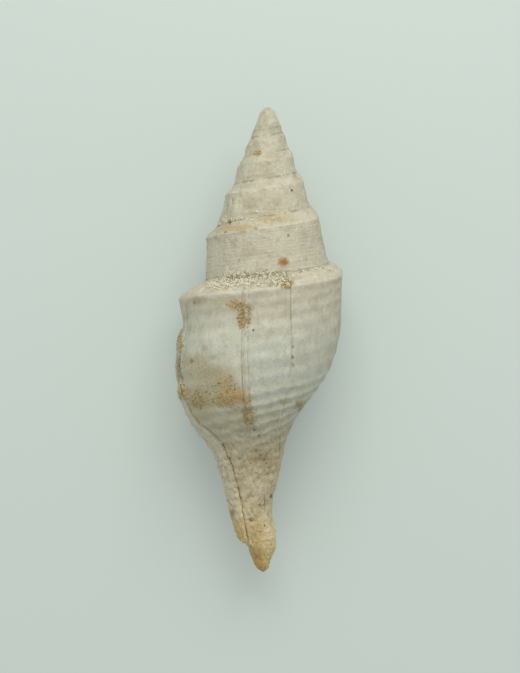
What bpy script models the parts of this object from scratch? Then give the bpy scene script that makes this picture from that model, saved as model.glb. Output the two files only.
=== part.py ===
"""Fossil spindle shell: one coiled shell lying on its opening, spire towards +Y and canal towards -Y.

The outside is a surface coiled about the shell's axis. A place on it is given by its turns, which
count back from the shell's left side towards the top of the spire, its level down the axis and
its radius from the axis. The hollow behind the opening is cut out of the closed outside.
"""

import math

import bmesh
import bpy
import numpy as np

MM = 0.001

# Driving dimensions, in millimetres. Levels are measured down the axis from the point where the
# coil would start, and the shoulder's are given for the left side, where turns is 0.
SHOULDER_RADIUS = 15.0
SHOULDER_LEVEL = 34.6
RADIUS_GROWTH = 1.42
LEVEL_GROWTH = 1.43
WORN_TOP_LEVEL = 2.1
DOME_RADIUS = 1.45
DOME_LEVEL = 2.45
TIP_LEVEL = 81.2
CANAL_BEND = -0.85
CANAL_BEND_LEVELS = (58.0, 76.0)

# How the shoulder strays from an even coil: turns, share of its radius, share of its level.
SHOULDER_DRIFT = (
    (-0.20, 0.000, 0.000),
    (0.00, 0.000, 0.000),
    (0.25, 0.000, 0.014),
    (0.50, 0.005, 0.028),
    (0.78, 0.045, 0.014),
    (1.00, 0.000, 0.000),
    (9.00, 0.000, 0.000),
)

# The ledge between each seam and its shoulder: turns, the seam's radius as a share of the
# shoulder's, and its height above the shoulder as a share of the shoulder's level.
LEDGE = (
    (-0.20, 0.69, 0.092),
    (0.00, 0.70, 0.090),
    (0.25, 0.76, 0.072),
    (0.50, 0.81, 0.058),
    (1.00, 0.83, 0.080),
    (2.00, 0.82, 0.095),
    (4.00, 0.82, 0.110),
)

# Lines that run round the last whorl below its shoulder: how far round the opening's lip stands,
# then (radius, level) at the lip, the left side, the right side and the wall that the lip covers.
BODY_LINES = {
    "widest": (-0.115, (15.9, 47.0), (15.6, 45.4), (12.5, 38.5), None),
    "flank": (-0.115, (15.1, 52.6), (14.9, 51.5), (11.0, 45.2), (10.6, 38.2)),
    "base": (-0.125, (13.2, 57.0), (13.0, 56.2), (8.7, 48.8), (8.6, 42.3)),
    "lower_base": (-0.145, (10.4, 61.4), (10.5, 60.6), (6.0, 52.3), (6.4, 47.0)),
    "neck": (-0.175, (8.3, 65.6), (8.7, 65.0), (4.2, 56.8), (4.6, 52.6)),
    "canal": (-0.195, (6.6, 69.8), (7.4, 68.6), (2.9, 62.4), (3.2, 59.5)),
    "canal_end": (-0.195, (5.1, 73.6), (5.8, 73.2), (1.8, 70.6), (2.2, 68.6)),
    "lip_end": (-0.185, (3.9, 76.6), (4.3, 76.5), (2.6, 75.2), (2.3, 75.0)),
    "stub": (-0.115, (2.7, 77.0), (2.9, 77.0), (2.7, 76.7), (2.5, 76.6)),
    "stub_end": (-0.115, (1.9, 79.7), (2.1, 79.6), (1.8, 79.6), (1.9, 79.6)),
}
LIP_TURNS = BODY_LINES["widest"][0]
COVERED_TURNS = 1.0 + LIP_TURNS
TUCK_UNDER_SHOULDER = 0.75
TUCK_PLACE = 0.42

# Old lips, healed over: turns at the shoulder, turns beside the canal, and the step after each.
HEALED_LIPS = (
    (0.068, 0.128, 0.34),
    (0.207, 0.207, 0.22),
    (0.300, 0.300, 0.30),
)
HEALING_TURNS = 0.085
CANAL_SIDE_LEVELS = (48.0, 60.0)

# Raised cords that run round the last whorl: their count, height and the share of span they cover.
CORD_COUNT = 15
CORD_HEIGHT = 0.16
CORD_SPAN = (0.16, 0.80)

# The hollow behind the opening: its wall, how far back it goes, and the column it winds round.
WALL = 1.15
CANAL_WALL = 0.85
CALLUS = 0.35
HOLLOW_TURNS = 0.34
HOLLOW_START_TURNS = -0.03
HOLLOW_LEAST_GAP = 0.7
HOLLOW_END_LEVEL = 77.4
COLUMN_LEVELS = (0.0, 50.0, 60.0, 70.0, 82.0)
COLUMN_RADII = (0.0, 3.3, 2.7, 2.25, 2.25)

# How the shell lies: the axis dips towards the canal, and the lowest spots are worn flat.
DIP_DEG = 3.9
ROLL_DEG = 0.0
COIL_START = (1.46, 41.56, 13.57)

# Steps round each turn, across a spire whorl and across the rest of the last whorl.
STEPS_PER_TURN = 48
SPIRE_TURNS = 5
SPIRE_PLACES = (0.0, 0.45, 0.8, 1.0, 1.3, 1.8, 2.4, 3.0)
BODY_SPANS = 40
HOLLOW_STEPS = 12
HOLLOW_SPANS = 16

SHELL_COLOUR = (0.62, 0.57, 0.44, 1.0)
SHELL_ROUGHNESS = 0.85


def ease(start, end, value):
    """0 at start, 1 at end, and an even S-curve between them."""
    share = np.clip((value - start) / (end - start), 0.0, 1.0)
    return share * share * (3.0 - 2.0 * share)


def curve_through(knots, values, at):
    """A smooth curve through (knots, values) that never overshoots them, read at each place."""
    knots = np.asarray(knots, float)
    values = np.asarray(values, float)
    widths = np.diff(knots)
    rises = np.diff(values) / widths
    slopes = np.concatenate([[rises[0]], np.zeros(len(knots) - 2), [rises[-1]]])
    for i in range(1, len(knots) - 1):
        if rises[i - 1] * rises[i] > 0.0:
            before = widths[i] * 2.0 + widths[i - 1]
            after = widths[i] + widths[i - 1] * 2.0
            slopes[i] = (before + after) / (before / rises[i - 1] + after / rises[i])
    at = np.clip(at, knots[0], knots[-1])
    cell = np.clip(np.searchsorted(knots, at, side="right") - 1, 0, len(knots) - 2)
    t = (at - knots[cell]) / widths[cell]
    return (
        values[cell] * (1.0 + 2.0 * t) * (1.0 - t) ** 2
        + slopes[cell] * widths[cell] * t * (1.0 - t) ** 2
        + values[cell + 1] * t * t * (3.0 - 2.0 * t)
        + slopes[cell + 1] * widths[cell] * t * t * (t - 1.0)
    )


def shoulder(turns):
    """(radius, level) of the shoulder at turns."""
    stations, outwards, down = zip(*SHOULDER_DRIFT)
    radius = SHOULDER_RADIUS * RADIUS_GROWTH**-turns
    level = SHOULDER_LEVEL * LEVEL_GROWTH**-turns
    radius *= 1.0 + float(curve_through(stations, outwards, turns))
    level *= 1.0 + float(curve_through(stations, down, turns))
    return radius, level


def seam(turns):
    """(radius, level) of the seam above the shoulder, where a whorl meets the one before it."""
    radius, level = shoulder(turns)
    stations, shares, drops = zip(*LEDGE)
    share = float(curve_through(stations, shares, turns))
    drop = float(curve_through(stations, drops, turns))
    return radius * share, level * (1.0 - drop)


def body_line(line, turns):
    """(radius, level) of a body line at turns: an off-centre circle from its left to its right."""
    lip_turns, lip, left, right, covered = line
    covered = covered or seam(LIP_TURNS)
    stations = (lip_turns, 0.0, 0.5, COVERED_TURNS)
    level = float(curve_through(stations, (lip[1], left[1], right[1], covered[1]), turns))
    angle = 2.0 * math.pi * turns
    offset = (left[0] - right[0]) / 2.0
    middle = (left[0] + right[0]) / 2.0
    radius = offset * math.cos(angle) + math.sqrt(middle**2 - (offset * math.sin(angle)) ** 2)
    if turns < 0.0:
        radius = left[0] + (lip[0] - left[0]) * float(ease(0.0, lip_turns, turns))
    if turns > 0.5:
        radius = right[0] + (covered[0] - right[0]) * float(ease(0.5, COVERED_TURNS, turns))
    return radius, level


def body_guides(from_lip):
    """Rows of (radius, level, turns) down the last whorl, from its seam to its tip."""
    turns = LIP_TURNS + from_lip
    hurry = float(ease(0.45, 0.0, from_lip))
    rows = []
    for line in BODY_LINES.values():
        line_turns = turns + (line[0] - LIP_TURNS) * hurry
        rows.append((*body_line(line, line_turns), line_turns))
    upper = upper_guides(turns, rows[0], TUCK_UNDER_SHOULDER * float(ease(0.45, 0.0, turns)))
    return np.concatenate([upper, rows[1:], [(0.0, TIP_LEVEL, turns)]])


def upper_guides(turns, bottom, tuck=0.0):
    """Rows of (radius, level, turns) from a whorl's seam over its shoulder to a bottom row."""
    top, edge = (*seam(turns), turns), (*shoulder(turns), turns)
    middle = [a + (b - a) * TUCK_PLACE for a, b in zip(edge, bottom)]
    middle[0] -= tuck
    return np.array([top, edge, middle, bottom])


def spire_guides(turns):
    """Rows of (radius, level, turns) down a spire whorl, from its upper seam to its lower one."""
    return upper_guides(turns, (*seam(turns - 1.0), turns))


def outline(guides, places):
    """The smooth outline through the guides. Place 0 is the first guide, 1 the second, and so on."""
    knots = np.arange(len(guides))
    return np.column_stack([curve_through(knots, column, places) for column in guides.T])


def even_places(guides, count):
    """Places that part an outline into count even steps."""
    reached = np.concatenate([[0.0], np.cumsum(np.hypot(*np.diff(guides[:, :2], axis=0).T))])
    return np.interp(np.linspace(0.0, reached[-1], count + 1), reached, np.arange(len(guides)))


def healed_lip_steps(level, turns):
    """How far the wall is stepped in after each healed lip, easing back out as the shell grew on."""
    canal_share = ease(*CANAL_SIDE_LEVELS, level)
    depth = np.zeros(len(level))
    for at_shoulder, at_canal, step in HEALED_LIPS:
        passed = at_shoulder + (at_canal - at_shoulder) * canal_share - turns
        healed = np.clip(passed / HEALING_TURNS, 0.0, 1.0)
        depth += np.where(passed > 0.0, step * (1.0 - healed), 0.0)
    return depth


def cords(span):
    """Height of the raised cords, where span is the share of the way from the seam to the tip."""
    low, high = CORD_SPAN
    standing = ease(low, low + 0.2, span) * ease(high, high - 0.1, span)
    return CORD_HEIGHT * standing * np.cos(2.0 * math.pi * CORD_COUNT * span)


def body_section(from_lip, places):
    """Rows of (radius, level, turns) down the last whorl, with its healed lips and its cords."""
    guides = body_guides(from_lip)
    section = outline(guides, places)
    shared = places <= SPIRE_PLACES[-1]
    as_spire = outline(guides[: int(SPIRE_PLACES[-1]) + 1], places[shared])
    section[shared] = as_spire + (section[shared] - as_spire) * ease(1.0, 0.6, from_lip)
    span = places / places[-1]
    shown = ease(1.0, 0.85, from_lip) * ease(0.03, 0.08, span) * ease(76.8, 75.5, section[:, 1])
    section[:, 0] += shown * (cords(span) - healed_lip_steps(section[:, 1], section[:, 2]))
    return section


def body_places():
    """Places down the last whorl: first the ones that it shares with the spire, then the rest."""
    last = int(SPIRE_PLACES[-1])
    rest = last + even_places(body_guides(-LIP_TURNS)[last:], BODY_SPANS)
    return np.concatenate([SPIRE_PLACES, rest[1:]])


def in_space(rows):
    """The points in space, in millimetres, of rows of (radius, level, turns)."""
    radius, level, turns = np.asarray(rows).T
    angle = 2.0 * math.pi * turns - math.radians(ROLL_DEG)
    dip = math.radians(DIP_DEG)
    across = CANAL_BEND * ease(*CANAL_BEND_LEVELS, level) - radius * np.cos(angle)
    up = radius * np.sin(angle)
    along = level * math.cos(dip) + up * math.sin(dip)
    height = up * math.cos(dip) - level * math.sin(dip)
    return np.column_stack([COIL_START[0] + across, COIL_START[1] - along, COIL_START[2] + height])


def add_row(mesh, rows):
    """Adds rows of (radius, level, turns) as vertices, in metres."""
    return [mesh.verts.new(point * MM) for point in in_space(rows)]


def add_band(mesh, first, second):
    """Joins two rows of vertices with faces."""
    for corners in zip(first, first[1:], second[1:], second):
        mesh.faces.new(corners)


def add_uneven_band(mesh, first, second):
    """Joins two rows of different lengths that start and end together, with triangles."""
    i, j = 0, 0
    while i < len(first) - 1 or j < len(second) - 1:
        along_first = (i + 1) / (len(first) - 1)
        along_second = (j + 1) / (len(second) - 1)
        if along_first <= along_second:
            mesh.faces.new((first[i], first[i + 1], second[j]))
            i += 1
        else:
            mesh.faces.new((first[i], second[j + 1], second[j]))
            j += 1


def closed_mesh(mesh, name):
    """Merges a mesh's doubled seams and poles, points its faces outwards and makes an object."""
    bmesh.ops.remove_doubles(mesh, verts=mesh.verts, dist=0.002 * MM)
    bmesh.ops.dissolve_degenerate(mesh, edges=mesh.edges, dist=0.001 * MM)
    bmesh.ops.recalc_face_normals(mesh, faces=mesh.faces)
    data = bpy.data.meshes.new(name)
    mesh.to_mesh(data)
    mesh.free()
    return bpy.data.objects.new(name, data)


def make_outside():
    """The closed outside of the shell, with a wall across its opening."""
    mesh = bmesh.new()
    spire = []
    for step in range(SPIRE_TURNS * STEPS_PER_TURN, -1, -1):
        guides = spire_guides(COVERED_TURNS + step / STEPS_PER_TURN)
        spire.append(add_row(mesh, outline(guides, np.array(SPIRE_PLACES))))
    places = body_places()
    body = []
    for step in range(STEPS_PER_TURN, -1, -1):
        body.append(add_row(mesh, body_section(step / STEPS_PER_TURN, places)))
    for rows in (spire, body):
        for first, second in zip(rows, rows[1:]):
            add_band(mesh, first, second)
    add_uneven_band(mesh, body[0][len(SPIRE_PLACES) - 1 :], body[-1])
    # The coil's start is worn to a blunt dome.
    first_turn = COVERED_TURNS + SPIRE_TURNS - np.arange(STEPS_PER_TURN) / STEPS_PER_TURN
    dome = add_row(mesh, [(DOME_RADIUS, DOME_LEVEL, turns) for turns in first_turn])
    apex = add_row(mesh, [(0.0, WORN_TOP_LEVEL, 0.0)])[0]
    rim = [row[0] for row in spire[: STEPS_PER_TURN + 1]] + spire[0][-2:0:-1]
    add_uneven_band(mesh, rim + rim[:1], dome + dome[:1])
    for first, second in zip(dome, dome[1:] + dome[:1]):
        mesh.faces.new((first, second, apex))
    return closed_mesh(mesh, "shell")


def hollow_section(from_lip):
    """A loop of (radius, level, turns) round the hollow: down its outer wall and up its inner one."""
    section = body_section(max(from_lip, 0.0), np.linspace(0.0, len(BODY_LINES) + 3.0, 400))
    covered = body_section(1.0, np.linspace(0.0, len(BODY_LINES) + 3.0, 400))
    grown = LEVEL_GROWTH**-from_lip
    level = np.linspace(section[0, 1], HOLLOW_END_LEVEL, 500)
    wall = WALL + (CANAL_WALL - WALL) * ease(58.0, 70.0, level)
    section_level = np.minimum(level, 76.0)
    outer = np.minimum(
        np.interp(section_level, section[:, 1], section[:, 0]),
        np.interp(section_level - WALL, section[:, 1], section[:, 0]),
    ) - wall
    before = np.interp(level, covered[:, 1] * grown, covered[:, 0] * grown)
    inner = np.maximum(before, np.interp(level, COLUMN_LEVELS, COLUMN_RADII)) + CALLUS
    turns = np.interp(level, section[:, 1], section[:, 2]) + min(from_lip, 0.0)
    open_levels = level[(outer - inner > HOLLOW_LEAST_GAP)]
    at = np.linspace(open_levels[0], open_levels[-1], HOLLOW_SPANS + 1)
    down = [np.interp(at, level, column) for column in (outer, level, turns)]
    back = [np.interp(at[::-1], level, column) for column in (inner, level, turns)]
    return np.concatenate([np.column_stack(down), np.column_stack(back)])


def make_hollow():
    """The closed space behind the opening, from just outside it to its far end."""
    mesh = bmesh.new()
    loops = []
    for from_lip in np.linspace(HOLLOW_START_TURNS, HOLLOW_TURNS, HOLLOW_STEPS + 1):
        row = add_row(mesh, hollow_section(from_lip))
        loops.append(row + row[:1])
    for first, second in zip(loops, loops[1:]):
        add_band(mesh, first, second)
    for loop in (loops[0], loops[-1]):
        add_band(mesh, loop[: HOLLOW_SPANS + 1], loop[-2:HOLLOW_SPANS:-1])
    return closed_mesh(mesh, "hollow")


def cut_away(body, cutter, collection):
    """Cuts the cutter out of the body, and keeps the cutter as a hidden helper."""
    collection.objects.link(cutter)
    cutter.hide_render = True
    cutter.display_type = "WIRE"
    cut = body.modifiers.new("opening", "BOOLEAN")
    cut.operation = "DIFFERENCE"
    cut.object = cutter


def lay_flat(shell):
    """Wears the lowest spots flat, so that the shell rests on them."""
    for vertex in shell.data.vertices:
        vertex.co.z = max(vertex.co.z, 0.0)


def fossil_finish():
    """Chalky cream shell."""
    material = bpy.data.materials.new("fossil_shell")
    material.use_nodes = True
    shader = material.node_tree.nodes["Principled BSDF"]
    shader.inputs["Base Color"].default_value = SHELL_COLOUR
    shader.inputs["Roughness"].default_value = SHELL_ROUGHNESS
    shader.inputs["Metallic"].default_value = 0.0
    return material


def main():
    """Builds the shell in an empty scene."""
    for obj in list(bpy.data.objects):
        bpy.data.objects.remove(obj)
    scene = bpy.context.scene.collection
    parts = bpy.data.collections.new("fossil_spindle_shell")
    cutters = bpy.data.collections.new("cutters")
    scene.children.link(parts)
    scene.children.link(cutters)
    shell = make_outside()
    parts.objects.link(shell)
    lay_flat(shell)
    cut_away(shell, make_hollow(), cutters)
    shell.data.materials.append(fossil_finish())


main()
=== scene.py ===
"""Fossil spindle shell: its skin, finish, light and camera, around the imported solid.

The shell's skin is drawn flat first, as a chart whose corners are (radius, level, turns) in
millimetres. A Geometry Nodes tree coils the chart about the shell's axis, welds its seams and
raises its relief. A second tree scatters the sand that sticks to it.
"""

from __future__ import annotations

import logging
import math
from dataclasses import dataclass, field
from enum import Enum
from typing import Mapping, NamedTuple, Sequence, Union

import bpy
import numpy as np
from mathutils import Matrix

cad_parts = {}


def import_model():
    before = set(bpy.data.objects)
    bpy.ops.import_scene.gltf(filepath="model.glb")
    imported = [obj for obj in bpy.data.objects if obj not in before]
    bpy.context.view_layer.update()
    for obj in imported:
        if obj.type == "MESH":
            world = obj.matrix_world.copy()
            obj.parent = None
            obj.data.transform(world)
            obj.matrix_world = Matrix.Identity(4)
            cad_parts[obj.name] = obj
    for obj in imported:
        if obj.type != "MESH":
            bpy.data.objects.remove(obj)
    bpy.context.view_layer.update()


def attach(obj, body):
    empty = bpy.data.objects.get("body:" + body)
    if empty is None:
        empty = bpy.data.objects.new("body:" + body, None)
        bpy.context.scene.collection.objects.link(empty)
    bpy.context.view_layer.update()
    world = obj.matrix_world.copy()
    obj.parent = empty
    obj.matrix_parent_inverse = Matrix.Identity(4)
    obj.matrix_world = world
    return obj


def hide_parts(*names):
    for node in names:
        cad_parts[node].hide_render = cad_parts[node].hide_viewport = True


LOG = logging.getLogger("spindle_shell")
MM = 0.001
TAU = 2.0 * math.pi
LIP_TURNS = -0.115
AXIS_HEIGHT = 13.57
AXIS_FALL = 0.068
RIM_PLACE = 1.02
WALL_FOOT = 3.0
HOLLOW_PLACE = 6.0
TOP_PLACE = 0.5
OUTSIDE = 1.0
INSIDE = 0.0
WELD = 0.0004
LIP_REACH = 4.0
PER_SQUARE_METRE = 1.0e6
SEED_STEP = 17
SHEEN = 0.25

Rows = np.ndarray
Point = tuple[float, float, float]
Colour = tuple[float, float, float, float]
Pair = tuple[float, float]
Value = Union["Field", "Tint", float, int, Sequence[float]]


# Curves


def ease(start: float, end: float, value: np.ndarray | float) -> np.ndarray | float:
    """0 at start, 1 at end and an even S-curve between them."""
    share = np.clip((value - start) / (end - start), 0.0, 1.0)
    return share * share * (3.0 - 2.0 * share)


def curve_through(
    knots: Sequence[float], values: Sequence[float], at: np.ndarray | float
) -> np.ndarray:
    """A smooth curve through points, which never overshoots them.

    Args:
        knots: where the points stand, in rising order.
        values: the curve's value at each knot.
        at: the places to read.

    Returns:
        The curve's value at each place.
    """
    knots = np.asarray(knots, float)
    values = np.asarray(values, float)
    widths = np.diff(knots)
    rises = np.diff(values) / widths
    slopes = np.concatenate([[rises[0]], np.zeros(len(knots) - 2), [rises[-1]]])
    for i in range(1, len(knots) - 1):
        if rises[i - 1] * rises[i] > 0.0:
            before = widths[i] * 2.0 + widths[i - 1]
            after = widths[i] + widths[i - 1] * 2.0
            slopes[i] = (before + after) / (before / rises[i - 1] + after / rises[i])
    at = np.clip(at, knots[0], knots[-1])
    cell = np.clip(np.searchsorted(knots, at, side="right") - 1, 0, len(knots) - 2)
    t = (at - knots[cell]) / widths[cell]
    return (
        values[cell] * (1.0 + 2.0 * t) * (1.0 - t) ** 2
        + slopes[cell] * widths[cell] * t * (1.0 - t) ** 2
        + values[cell + 1] * t * t * (3.0 - 2.0 * t)
        + slopes[cell + 1] * widths[cell] * t * t * (t - 1.0)
    )


def paint(red: int, green: int, blue: int) -> Colour:
    """A colour in linear light, from the 0 to 255 that a screen shows."""
    shares = (part / 255.0 for part in (red, green, blue))
    return (*(s / 12.92 if s <= 0.04045 else ((s + 0.055) / 1.055) ** 2.4 for s in shares), 1.0)


# Node trees


class Field:
    """A value that flows through a node tree and takes ordinary arithmetic."""

    def __init__(self, sheet: "NodeSheet", socket: bpy.types.NodeSocket) -> None:
        """Holds one output socket of the sheet's tree."""
        self.sheet = sheet
        self.socket = socket

    def math(self, operation: str, *others: Value) -> "Field":
        """This value and others through one Math node."""
        inputs = dict(enumerate((self, *others)))
        return self.sheet.add("ShaderNodeMath", inputs, operation=operation)

    def __add__(self, other: Value) -> "Field":
        """The sum."""
        return self.math("ADD", other)

    def __sub__(self, other: Value) -> "Field":
        """The difference."""
        return self.math("SUBTRACT", other)

    def __mul__(self, other: Value) -> "Field":
        """The product."""
        return self.math("MULTIPLY", other)

    def __truediv__(self, other: Value) -> "Field":
        """The quotient."""
        return self.math("DIVIDE", other)

    def __rsub__(self, other: float) -> "Field":
        """A plain number less this value."""
        return (self * -1.0) + other

    def __pow__(self, other: Value) -> "Field":
        """This value to a power."""
        return self.math("POWER", other)

    __radd__ = __add__
    __rmul__ = __mul__

    def cos(self) -> "Field":
        """The cosine of this angle, in radians."""
        return self.math("COSINE")

    def sin(self) -> "Field":
        """The sine of this angle, in radians."""
        return self.math("SINE")

    def part(self, index: int) -> "Field":
        """One of a vector's three parts."""
        return self.sheet.add("ShaderNodeSeparateXYZ", {0: self}, out=index)

    def vector_math(self, operation: str, *others: Value, out: int = 0) -> "Field":
        """This vector and others through a Vector Math node, whose output 1 is a number."""
        inputs = dict(enumerate((self, *others)))
        return self.sheet.add("ShaderNodeVectorMath", inputs, out=out, operation=operation)

    def scaled(self, factor: Value) -> "Field":
        """This vector times a number."""
        return self.sheet.add("ShaderNodeVectorMath", {0: self, "Scale": factor}, operation="SCALE")


class NodeSheet:
    """Draws nodes into a tree."""

    def __init__(self, tree: bpy.types.NodeTree) -> None:
        """Takes the tree to draw in."""
        self.tree = tree

    def wire(self, value: Value, socket: bpy.types.NodeSocket) -> None:
        """Links a field to a socket, or sets the socket to a plain value.

        Args:
            value: the field, tint or number.
            socket: the socket.
        """
        if isinstance(value, Field):
            self.tree.links.new(value.socket, socket)
        else:
            socket.default_value = value.value if isinstance(value, Tint) else value

    def add(
        self, kind: str, inputs: Mapping[int | str, Value], out: int | str = 0, **settings: object
    ) -> Field:
        """Adds a node.

        Args:
            kind: the node's type name.
            inputs: values for its sockets, by name or index.
            out: which output to return.
            settings: the node's own properties.

        Returns:
            The output asked for.
        """
        node = self.tree.nodes.new(kind)
        for name, setting in settings.items():
            setattr(node, name, setting)
        for slot, value in inputs.items():
            self.wire(value, node.inputs[slot])
        return Field(self, node.outputs[out])

    def ease(self, start: float, end: float, value: Field) -> Field:
        """0 at start, 1 at end and an even S-curve between them."""
        inputs = {"Value": value, "From Min": start, "From Max": end}
        return self.add("ShaderNodeMapRange", inputs, interpolation_type="SMOOTHSTEP")

    def window(self, value: Field, low: float, high: float, edge: float) -> Field:
        """1 between low and high, easing to 0 over an edge outside them."""
        rise = self.ease(low - edge, low, value)
        return rise * self.ease(high + edge, high, value)

    def ridge(self, value: Field, centre: Value, width: float) -> Field:
        """A rounded ridge of height 1, where value is at the centre."""
        off = (value - centre) / width
        return (off * off * -1.0).math("EXPONENT")

    def path(self, value: Field, points: Sequence[Pair]) -> Field:
        """A smooth curve through points.

        Args:
            value: where to read the curve.
            points: pairs of the value and the curve's height there.

        Returns:
            The curve's height.
        """
        spans = [min(column) for column in zip(*points)], [max(column) for column in zip(*points)]
        (low, floor), (high, top) = spans
        share = (value - low) / (high - low)
        node = self.tree.nodes.new("ShaderNodeFloatCurve")
        curve = node.mapping.curves[0]
        shares = [((a - low) / (high - low), (b - floor) / (top - floor)) for a, b in points]
        curve.points[0].location, curve.points[1].location = shares[0], shares[-1]
        for place in shares[1:-1]:
            curve.points.new(*place)
        node.mapping.update()
        self.wire(share, node.inputs["Value"])
        return Field(self, node.outputs[0]) * (top - floor) + floor

    def vector(self, x: Value, y: Value, z: Value) -> Field:
        """A vector from its three parts."""
        return self.add("ShaderNodeCombineXYZ", {0: x, 1: y, 2: z})

    def noise(self, at: Field, scale: float, detail: float = 2.0, rough: float = 0.5) -> Field:
        """Smooth noise, about 0.5 on average."""
        inputs = {"Vector": at, "Scale": scale, "Detail": detail, "Roughness": rough}
        return self.add("ShaderNodeTexNoise", inputs)

    def cells(self, at: Field, scale: float) -> Field:
        """Distance to the nearest of scattered points, which makes small round pits."""
        return self.add("ShaderNodeTexVoronoi", {"Vector": at, "Scale": scale})

    def canal_net(self, at: Field) -> Field:
        """Distance to the nearest groove of the canal's net."""
        inputs = {"Vector": self.ragged(at, 1.2, 0.8), "Scale": 0.85}
        return self.add("ShaderNodeTexVoronoi", inputs, feature="DISTANCE_TO_EDGE")

    @staticmethod
    def above_axis(at: Field, level: Field) -> Field:
        """How far a place is above the shell's axis, in millimetres."""
        return at.part(2) - (level * -AXIS_FALL + AXIS_HEIGHT)

    def ragged(self, at: Field, amount: float, scale: float) -> Field:
        """Places shifted by noise, up to an amount, which makes an outline ragged."""
        shift = self.add("ShaderNodeTexNoise", {"Vector": at, "Scale": scale, "Detail": 2.0}, out=1)
        return at.vector_math("ADD", shift.vector_math("SUBTRACT", (0.5, 0.5, 0.5)).scaled(amount))

    def ovals(self, at: Field, patches: Sequence["Patch"]) -> Field:
        """1 inside patches that are seen from above and 0 outside them.

        Args:
            at: places in millimetres.
            patches: the patches.

        Returns:
            The strongest of the patches at each place.
        """
        found = None
        for patch in patches:
            away = at.vector_math("SUBTRACT", (patch.x, patch.y, 0.0))
            shares = (1.0 / patch.half_x, 1.0 / patch.half_y, 0.0)
            far = away.vector_math("MULTIPLY", shares).vector_math("LENGTH", out=1)
            inside = self.ease(1.0 + patch.soft, 1.0 - patch.soft, far) * patch.share
            found = found.math("MAXIMUM", inside) if found else inside
        return found

    def ramp(self, value: Field, stops: Sequence[tuple[float, "Tint"]]) -> Field:
        """A colour that changes along a value.

        Args:
            value: where to read it.
            stops: pairs of the value and the tint there.

        Returns:
            The colour.
        """
        low, high = stops[0][0], stops[-1][0]
        node = self.tree.nodes.new("ShaderNodeValToRGB")
        elements = node.color_ramp.elements
        for i, (place, tint) in enumerate(stops):
            share = (place - low) / (high - low)
            element = elements[i] if i < 2 else elements.new(share)
            element.position, element.color = share, tint.value
        self.wire((value - low) / (high - low), node.inputs[0])
        return Field(self, node.outputs[0])

    def blend(self, share: Value, first: Value, second: Value) -> Field:
        """A mix of two colours."""
        inputs = {"Factor": share, 6: first, 7: second}
        return self.add("ShaderNodeMix", inputs, out=2, data_type="RGBA")


class GrowingTree(NodeSheet):
    """A Geometry Nodes tree with named inputs."""

    def __init__(self, name: str) -> None:
        """Makes the tree with a geometry input and output.

        Args:
            name: what the tree is called.
        """
        tree = bpy.data.node_groups.new(name, "GeometryNodeTree")
        super().__init__(tree)
        tree.interface.new_socket("Geometry", in_out="OUTPUT", socket_type="NodeSocketGeometry")
        tree.interface.new_socket("Geometry", in_out="INPUT", socket_type="NodeSocketGeometry")
        self.entry = tree.nodes.new("NodeGroupInput")
        self.exit = tree.nodes.new("NodeGroupOutput")
        self.sizes: dict[str, object] = {}

    def size(self, name: str, value: object, kind: str = "NodeSocketFloat") -> Field:
        """Adds a named input.

        Args:
            name: what the input is called.
            value: what the modifier sets it to.
            kind: its socket type.

        Returns:
            The input as a field.
        """
        socket = self.tree.interface.new_socket(name, in_out="INPUT", socket_type=kind)
        self.sizes[socket.identifier] = value
        return Field(self, self.entry.outputs[name])

    def geometry(self) -> Field:
        """The geometry that comes in."""
        return Field(self, self.entry.outputs["Geometry"])

    def attribute(self, name: str) -> Field:
        """A number stored on the geometry."""
        return self.add("GeometryNodeInputNamedAttribute", {"Name": name}, data_type="FLOAT")

    def store(self, geometry: Field, name: str, value: Field) -> Field:
        """Stores a number on the geometry's points and returns the geometry."""
        inputs = {"Geometry": geometry, "Name": name, "Value": value}
        return self.add("GeometryNodeStoreNamedAttribute", inputs, data_type="FLOAT")

    def end_with(self, geometry: Field, finish: bpy.types.Material) -> None:
        """Ends the tree in Realize Instances and Set Material.

        Args:
            geometry: what the tree has made.
            finish: its material.
        """
        finish_input = self.size("Finish", finish, "NodeSocketMaterial")
        real = self.add("GeometryNodeRealizeInstances", {"Geometry": geometry})
        inputs = {"Geometry": real, "Material": finish_input}
        dressed = self.add("GeometryNodeSetMaterial", inputs)
        self.tree.links.new(dressed.socket, self.exit.inputs[0])

    def grow(self, name: str, source: bpy.types.Mesh) -> bpy.types.Object:
        """Runs the tree on a mesh.

        Args:
            name: the new object's name.
            source: the mesh that goes in.

        Returns:
            An object that holds the result as a plain mesh.
        """
        obj = bpy.data.objects.new(name, source)
        bpy.context.scene.collection.objects.link(obj)
        modifier = obj.modifiers.new(self.tree.name, "NODES")
        modifier.node_group = self.tree
        for identifier, value in self.sizes.items():
            modifier[identifier] = value
        graph = bpy.context.evaluated_depsgraph_get()
        plain = bpy.data.meshes.new_from_object(obj.evaluated_get(graph))
        obj.modifiers.remove(modifier)
        obj.data = plain
        plain.name = name
        return obj


# The shell's growth


@dataclass(frozen=True)
class Patch:
    """An oval patch on the side that faces up, in millimetres."""

    x: float
    y: float
    half_x: float
    half_y: float
    share: float = 1.0
    soft: float = 0.35


def patches(*rows: tuple[float, ...]) -> tuple[Patch, ...]:
    """Patches from rows of their values."""
    return tuple(Patch(*row) for row in rows)


@dataclass(frozen=True)
class BodyLine:
    """A line that runs round the last whorl, as (radius, level) at four stations."""

    lip_turns: float
    lip: Pair
    left: Pair
    right: Pair
    covered: Pair | None
    flap: float = 0.0


@dataclass(frozen=True)
class OldLip:
    """An old lip that the shell grew on from, along a path of (level, turns)."""

    name: str
    path: tuple[Pair, ...]
    ends: Pair
    step: float
    ridge: float
    grooves: tuple[Point, ...]


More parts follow.
